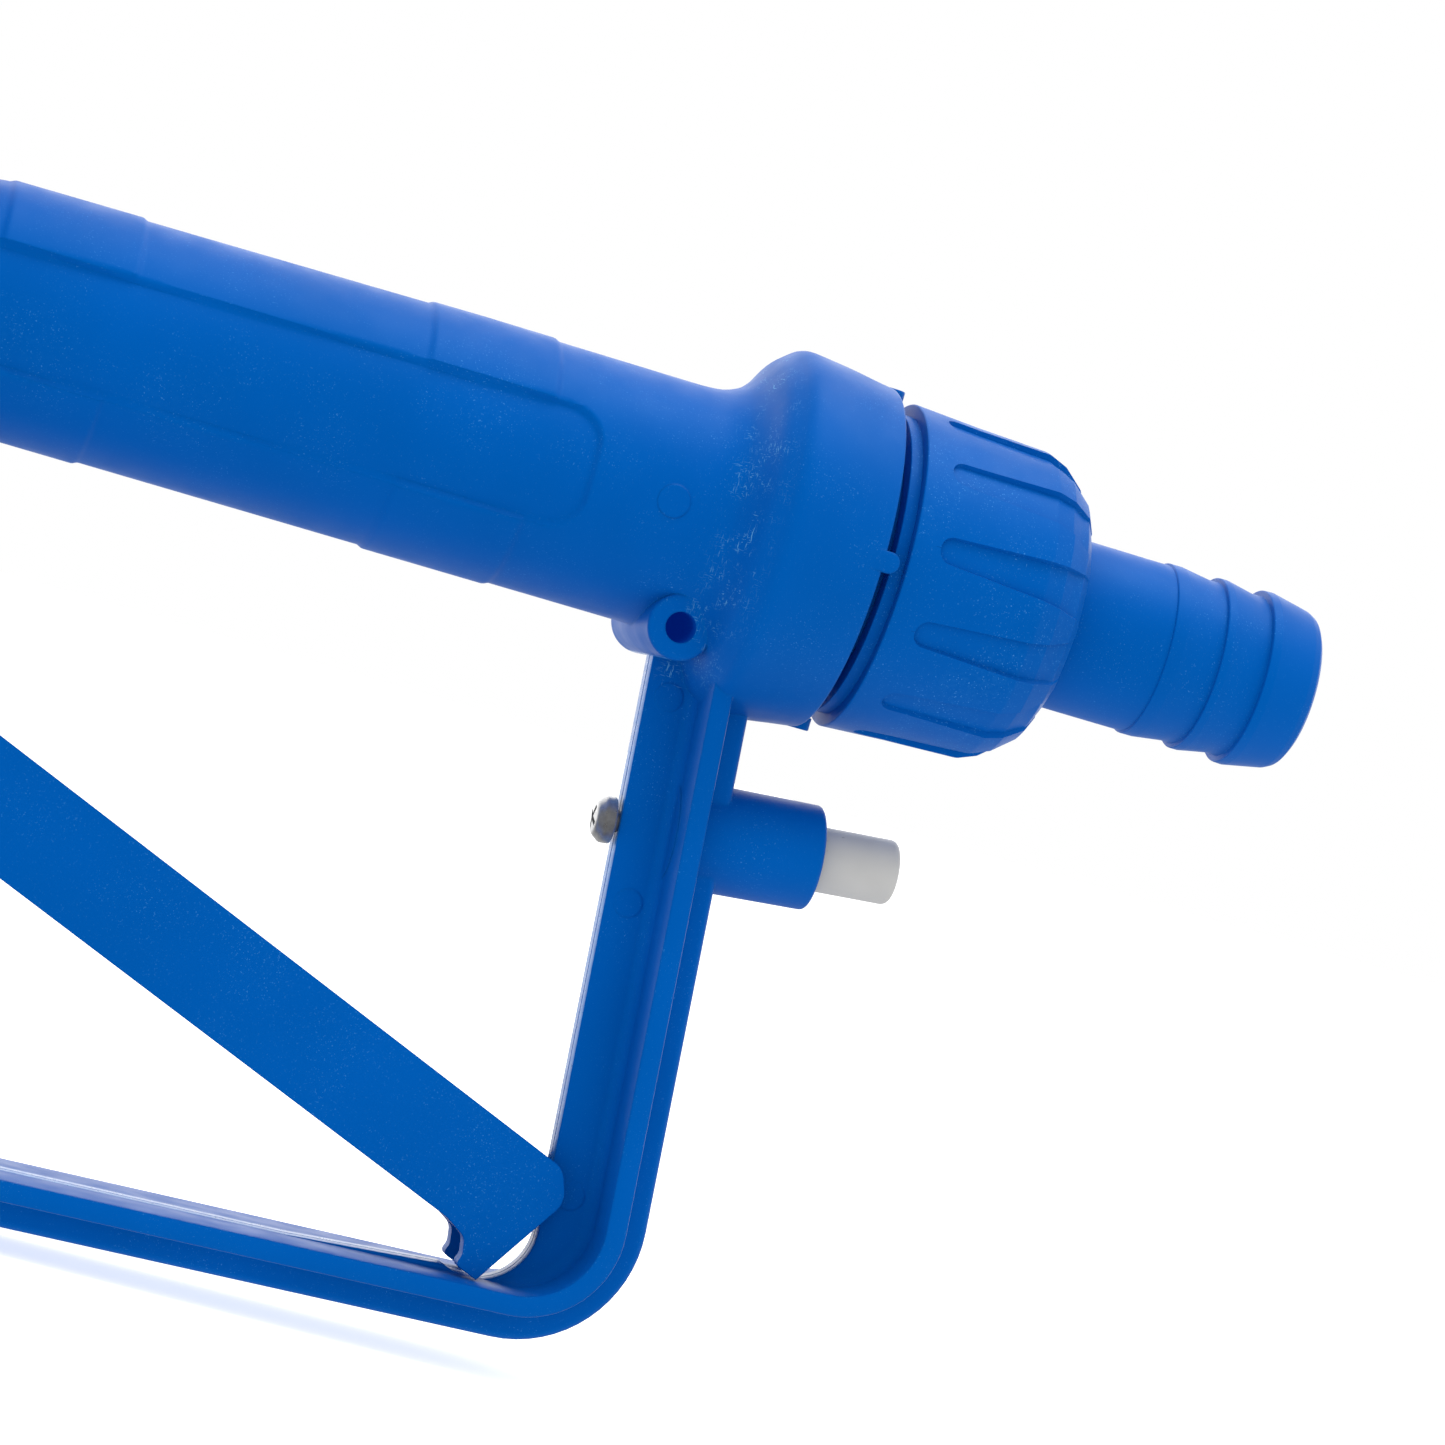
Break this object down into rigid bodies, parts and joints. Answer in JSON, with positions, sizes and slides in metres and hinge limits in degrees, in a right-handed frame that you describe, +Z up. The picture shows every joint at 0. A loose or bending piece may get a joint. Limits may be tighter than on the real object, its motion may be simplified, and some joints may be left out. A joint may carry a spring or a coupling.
{
  "type": "manual dispensing nozzle",
  "caption": "Hand-held plastic dispensing nozzle with trigger, guard, hold-open button, bent spout and barbed hose tail on a union nut.",
  "frame": {"origin": "centre of the whole nozzle's bounding box", "axes": "+X along the grip towards the hose tail, +Y to the left hand side, +Z up, spout points to -X and the trigger guard hangs to -Z"},
  "size_m": [0.3616, 0.0432, 0.1266],
  "materials": {
    "blue_plastic": "matte moulded plastic with fine light scuffs",
    "white_plastic": "satin natural plastic",
    "stainless_steel": "bright stainless steel",
    "black_rubber": "smooth black rubber"
  },
  "bodies": {
    "body": {"body": "blue_plastic", "trigger_pin": "stainless_steel", "trigger_pin_clip": "stainless_steel", "valve_cap": "blue_plastic", "cap_o_ring": "black_rubber", "gland_nut": "white_plastic", "stem_o_ring": "black_rubber", "inlet_gasket": "black_rubber", "spout_gasket": "black_rubber", "valve_spring": "stainless_steel", "latch_spring": "stainless_steel"},
    "trigger": {"trigger": "blue_plastic"},
    "valve": {"valve_stem": "stainless_steel", "stem_foot": "white_plastic", "valve_poppet": "white_plastic", "poppet_seal": "black_rubber", "poppet_nut": "stainless_steel"},
    "latch": {"latch_button": "white_plastic", "latch_screw": "stainless_steel"},
    "inlet_nut": {"inlet_nut": "blue_plastic"},
    "hose_tail": {"hose_tail": "blue_plastic"},
    "spout_nut": {"spout_nut": "blue_plastic"},
    "spout": {"spout": "blue_plastic"}
  },
  "joints": [
    {"name": "trigger_hinge", "type": "hinge", "parent": "body", "child": "trigger", "pos_m": [-0.0149, 0, -0.02268], "axis": [0, -1, 0], "range_deg": [0, 25.5], "stiffness_Nm_per_rad": 0.5, "springref_deg": -14.32},
    {"name": "valve_slide", "type": "slide", "parent": "body", "child": "valve", "axis": [0, 0, 1], "range_m": [0, 0.0075], "deforming": ["valve_spring"]},
    {"name": "latch_slide", "type": "slide", "parent": "body", "child": "latch", "axis": [-0.9962, 0, -0.0872], "range_m": [0, 0.0065], "stiffness_N_per_m": 250, "springref_m": -0.004, "deforming": ["latch_spring"]},
    {"name": "inlet_nut_turn", "type": "hinge", "parent": "body", "child": "inlet_nut", "pos_m": [0.13509, 0, 0.03632], "axis": [1, 0, 0], "continuous": true},
    {"name": "hose_tail_turn", "type": "hinge", "parent": "body", "child": "hose_tail", "pos_m": [0.16509, 0, 0.03632], "axis": [1, 0, 0], "continuous": true},
    {"name": "spout_nut_turn", "type": "hinge", "parent": "body", "child": "spout_nut", "pos_m": [-0.02991, 0, 0.01482], "axis": [1, 0, 0], "continuous": true},
    {"name": "spout_turn", "type": "hinge", "parent": "body", "child": "spout", "pos_m": [-0.06491, 0, 0.01482], "axis": [1, 0, 0], "continuous": true}
  ],
  "couplings": [
    {"joint": "valve_slide", "follows": "trigger_hinge", "m_per_rad": 0.0165}
  ]
}
